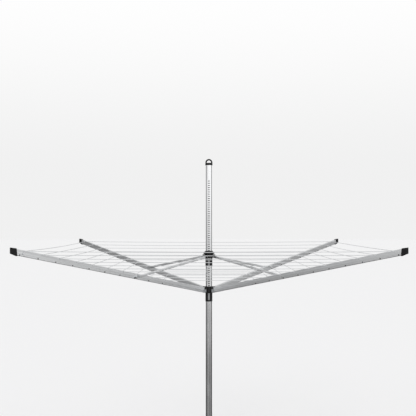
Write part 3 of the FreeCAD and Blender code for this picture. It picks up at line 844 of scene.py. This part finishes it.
@dataclass
class DryingLine:
    """Ten square laps of covered line, made as half spans that ride on the arms."""

    slot: ClassVar[str] = "line_cord"
    groups: Tuple[LapGroup, ...] = (
        LapGroup("outer", (0, 1, 2, 3), 0.083),
        LapGroup("middle", (4, 5, 6), 0.104),
        LapGroup("inner", (7, 8, 9), 0.15),
    )
    tip_radius: float = 1.592
    outer_share: float = 0.9546
    share_step: float = 0.0755
    square_reach: float = 0.012
    bend_radius: float = 0.006
    line_radius: float = 0.0018
    rise: float = 0.012
    eyelet_mouth: float = 0.01
    sag_rate: float = 0.0062
    sag_span: float = 2.15
    sag_spread: float = 0.45
    sag_lap_step: float = 2.3
    sag_span_step: float = 1.7
    corner_turn: float = 45.0
    run_points: int = 14
    bend_points: int = 4
    facets: int = 8
    weld: float = 0.00005
    smooth_angle: float = 50.0
    finish: CoveredLine = CoveredLine("covered_grey_line", (0.6, 0.61, 0.62))

    def half_side(self, lap: int) -> float:
        """Half the side of a lap's square."""
        return (self.outer_share - self.share_step * lap) * self.tip_radius / math.sqrt(2.0)

    def corner(self, lap: int) -> Tuple[float, float]:
        """Radius and level at which a lap goes through an arm.

        Args:
            lap: number of the lap, from the outside.

        Returns:
            The radius and the level in metres.
        """
        radius = self.half_side(lap) * math.sqrt(2.0) - self.square_reach
        return radius, math.tan(math.radians(ARM_ELEVATION)) * radius + self.rise + HUB_HEIGHT

    def sag(self, lap: int, span: int) -> float:
        """Sag at the middle of a span: longer spans sag more, and no two are quite alike.

        Args:
            lap: number of the lap, from the outside.
            span: number of the span, from arm 1 to arm 2 and on.

        Returns:
            The sag in metres.
        """
        length = 2.0 * self.half_side(lap)
        phase = self.sag_lap_step * lap + self.sag_span_step * span
        uneven = 1.0 + self.sag_spread * math.sin(phase)
        return self.sag_rate * (length / self.sag_span) ** 2 * uneven

    def path(self, lap: int, half_span: HalfSpan) -> List[Vector]:
        """Centreline of a half span in the arm's own frame: outwards, sideways and up.

        Args:
            lap: number of the lap.
            half_span: the arm's side and the span.

        Returns:
            Points from the arm's middle to the middle of the span.
        """
        half = self.half_side(lap)
        radius, level = self.corner(lap)
        trim = self.bend_radius * math.tan(math.radians(self.corner_turn / 2.0))
        points = [Vector((radius, 0.0, level)), Vector((radius, self.square_reach - trim, level))]
        for step in range(1, self.bend_points):
            turn = math.radians(self.corner_turn) * step / self.bend_points
            inward = self.bend_radius * (1.0 - math.cos(turn))
            across = self.square_reach - trim + self.bend_radius * math.sin(turn)
            points.append(Vector((radius - inward, across, level)))
        start = Vector((radius, self.square_reach, level))
        end = Vector((half / math.sqrt(2.0), half / math.sqrt(2.0), level))
        length = (end - start).length
        sag = self.sag(lap, half_span.span)
        for step in range(self.run_points + 1):
            share = (trim + (length - trim) * step / self.run_points) / length
            point = start.lerp(end, share)
            point.z -= sag * (2.0 * share - share * share)
            points.append(point)
        for point in points:
            point.y *= half_span.side.value
        return points

    def sweep(self, name: str, group: LapGroup, half_span: HalfSpan) -> bpy.types.Object:
        """Sweeps the half spans of a group of laps and welds them into one mesh.

        Args:
            name: name of the piece.
            group: the laps.
            half_span: the arm's side and the span.

        Returns:
            The piece.
        """
        curve = bpy.data.curves.new(name, "CURVE")
        curve.dimensions = "3D"
        curve.bevel_depth = self.line_radius
        curve.bevel_resolution = self.facets // 2 - 2
        curve.use_fill_caps = True
        for lap in group.laps:
            points = self.path(lap, half_span)
            spline = curve.splines.new("POLY")
            spline.points.add(len(points) - 1)
            for place, point in zip(spline.points, points):
                place.co = (*(half_span.turn @ point), 1.0)
        piece = bpy.data.objects.new(name, curve)
        bpy.context.scene.collection.objects.link(piece)
        choose(piece)
        bpy.ops.object.convert(target="MESH")
        bpy.ops.object.mode_set(mode="EDIT")
        bpy.ops.mesh.select_all(action="SELECT")
        bpy.ops.mesh.remove_doubles(threshold=self.weld)
        bpy.ops.mesh.normals_make_consistent(inside=False)
        bpy.ops.object.mode_set(mode="OBJECT")
        bpy.ops.object.shade_smooth_by_angle(angle=math.radians(self.smooth_angle))
        return piece

    def measure_run(self, piece: bpy.types.Object, group: LapGroup, half_span: HalfSpan) -> None:
        """Stores the travel along each lap and the turn round it on a piece's vertices.

        Args:
            piece: the piece.
            group: its laps.
            half_span: the arm's side and the span.
        """
        travel = piece.data.attributes.new("travel", "FLOAT", "POINT")
        turn = piece.data.attributes.new("turn", "FLOAT", "POINT")
        back = half_span.turn.inverted()
        square = Vector((1.0, float(half_span.side.value), 0.0)).normalized()
        sides = {lap: self.half_side(lap) for lap in group.laps}
        for vertex in piece.data.vertices:
            place = back @ vertex.co
            reach = place @ square
            lap = min(sides, key=lambda number: abs(sides[number] - reach))
            travel.data[vertex.index].value = abs(place.y) * math.sqrt(2.0)
            length = sides[lap] - self.square_reach * math.sqrt(2.0)
            share = (abs(place.y) - self.square_reach) * math.sqrt(2.0) / length
            share = min(1.0, max(0.0, share))
            height = place.z - self.corner(lap)[1]
            height += self.sag(lap, half_span.span) * (2.0 * share - share * share)
            turn.data[vertex.index].value = math.atan2(height, reach - sides[lap])

    def attach(self, piece: bpy.types.Object, group: LapGroup, half_span: HalfSpan) -> None:
        """Rides a group of laps on its arm.

        Args:
            piece: the piece.
            group: its laps.
            half_span: the arm's side.
        """
        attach(piece, f"arm_{half_span.arm}")
        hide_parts(f"line_laps_{half_span.arm}")
        mouth = self.path(group.laps[0], half_span)[0]
        mouth.y = half_span.side.value * self.eyelet_mouth
        half_span.turn @ mouth
        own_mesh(piece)

    def build(self) -> None:
        """Models every group of laps on both sides of every arm."""
        material = self.finish.material()
        for arm in range(1, len(ARM_AZIMUTHS) + 1):
            for side in Side:
                half_span = HalfSpan(arm, side)
                for group in self.groups:
                    name = f"line_arm_{arm}_{side.name.lower()}_{group.name}"
                    piece = self.sweep(name, group, half_span)
                    self.measure_run(piece, group, half_span)
                    dress(piece, material)
                    self.attach(piece, group, half_span)
                    LOG.info("%s: %d faces", name, len(piece.data.polygons))


# ---------------------------------------------------------------- studio and camera
@dataclass(frozen=True)
class SoftSun:
    """Wide sun that shines from a place towards the mast."""

    name: str
    place: Tuple[float, float, float]
    strength: float
    angle: float


@dataclass
class Studio:
    """Plain pale floor, an even pale surround, soft lights and the camera."""

    floor_radius: float = 60.0
    floor_sides: int = 96
    floor_colour: Colour = (0.84, 0.84, 0.845)
    floor_patch: Colour = (0.8, 0.8, 0.805)
    floor_patch_scale: float = 1.5
    floor_patch_detail: float = 3.0
    floor_patch_strength: float = 0.04
    floor_roughness: float = 0.95
    surround: float = 0.875
    surround_top: float = 0.995
    surround_fade: Range = (0.05, 0.32)
    soft_light: float = 0.9
    front_light: float = 1.3
    front_fade: Range = (-0.35, 0.45)
    ground_light: float = 0.22
    ground_fade: Range = (-0.2, 0.08)
    side_light: float = 0.16
    back_light: float = 0.45
    back_fade: Range = (0.45, 0.95)
    left_share: float = 0.72
    left_fade: Range = (-0.2, -0.9)
    stand_depth: float = 0.4
    stand_left: Range = (0.02, 0.25)
    stand_right: Range = (0.3, 0.65)
    suns: Tuple[SoftSun, ...] = (
        SoftSun("key_sun", (-4.0, -5.0, 7.0), 0.5, 50.0),
        SoftSun("fill_sun", (5.0, 3.0, 6.0), 0.2, 70.0),
    )
    camera_place: Tuple[float, float, float] = (-0.0065, -5.256, 1.4925)
    camera_pitch: float = 1.13
    lens: float = 63.2
    sensor: float = 36.0
    sight: float = 200.0

    def floor(self) -> None:
        """Adds the floor."""
        choose_nothing()
        bpy.ops.mesh.primitive_circle_add(
            vertices=self.floor_sides, radius=self.floor_radius, fill_type="NGON"
        )
        piece = settle(bpy.context.object, "studio_floor")
        recipe = Recipe("studio_floor_paint")
        where = recipe.place(UPRIGHT)
        cloud = recipe.noise(where, self.floor_patch_scale, self.floor_patch_detail)
        patches = cloud * self.floor_patch_strength
        tone = recipe.mix(patches, self.floor_colour, self.floor_patch)
        recipe.set(Base_Color=tone, Roughness=self.floor_roughness, Specular_IOR_Level=0.0)
        piece.data.materials.append(recipe.material)
        piece.visible_glossy = False

    def reflected(self, recipe: Recipe, direction: Signal, height: Signal) -> Signal:
        """Light that the metals see.

        It is bright in front and above, dimmer at the sides and the back, and dark below, with
        one dim stand low down in front.

        Args:
            recipe: the surround's nodes.
            direction: direction of the reflected ray.
            height: its upward part.

        Returns:
            The strength of the light.
        """
        across = recipe.part(direction, Axis.X)
        depth = recipe.part(direction, Axis.Y)
        front = 1.0 - recipe.mask(depth, self.front_fade)
        behind = recipe.mask(depth, self.back_fade)
        level = recipe.mask(height, self.ground_fade)
        share = recipe.span(front, self.side_light, 1.0) + behind * self.back_light
        light = share * recipe.span(level, self.ground_light, self.front_light)
        beyond = recipe.mask(across, self.stand_right)
        stand = recipe.mask(across, self.stand_left) * (1.0 - beyond)
        light = light * (1.0 - stand * (1.0 - level) * self.stand_depth)
        left = recipe.mask(across, self.left_fade)
        return light * recipe.span(left, 1.0, self.left_share)

    def surroundings(self) -> None:
        """Sets an even surround for sight and soft light, and a graded one for reflections."""
        world = bpy.data.worlds.new("studio_surround")
        bpy.context.scene.world = world
        world.use_nodes = True
        world.node_tree.nodes.clear()
        recipe = Recipe("studio_surround_nodes", world.node_tree)
        direction = recipe.node("ShaderNodeTexCoord")
        height = recipe.part(direction, Axis.Z)
        reflected = self.reflected(recipe, direction, height)
        seen = recipe.node("ShaderNodeLightPath", output=0)
        glossy = recipe.node("ShaderNodeLightPath", output=3)
        soft = glossy * (reflected - self.soft_light) + self.soft_light
        fade = recipe.mask(height, self.surround_fade)
        backdrop = recipe.span(fade, self.surround, self.surround_top)
        strength = seen * (backdrop - soft) + soft
        inputs: Inputs = {"Color": WHITE, "Strength": strength}
        light = recipe.node("ShaderNodeBackground", None, inputs)
        recipe.node("ShaderNodeOutputWorld", None, {"Surface": light}, None)

    def sun(self, source: SoftSun) -> None:
        """Adds a sun.

        Args:
            source: its place, strength and width.
        """
        choose_nothing()
        bpy.ops.object.light_add(type="SUN", location=source.place)
        light = bpy.context.object
        light.name = source.name
        light.data.energy = source.strength
        light.data.angle = math.radians(source.angle)
        light.rotation_euler = (-Vector(source.place)).to_track_quat("-Z", "Y").to_euler()

    def camera(self) -> None:
        """Adds the camera."""
        choose_nothing()
        turn = (math.radians(90.0 + self.camera_pitch), 0.0, 0.0)
        bpy.ops.object.camera_add(location=self.camera_place, rotation=turn)
        camera = bpy.context.object
        camera.name = "studio_camera"
        camera.data.lens = self.lens
        camera.data.sensor_width = self.sensor
        camera.data.clip_end = self.sight
        bpy.context.scene.camera = camera

    def build(self) -> None:
        """Builds the studio."""
        bpy.context.scene.view_settings.view_transform = "Standard"
        self.floor()
        self.surroundings()
        for source in self.suns:
            self.sun(source)
        self.camera()


def main() -> None:
    """Builds the looks in order."""
    logging.basicConfig(level=logging.INFO, format="%(message)s")
    Studio().build()
    finishes = FrameFinishes()
    finishes.build()
    finishes.apply()
    DryingLine().build()


if __name__ == "__main__":
    main()
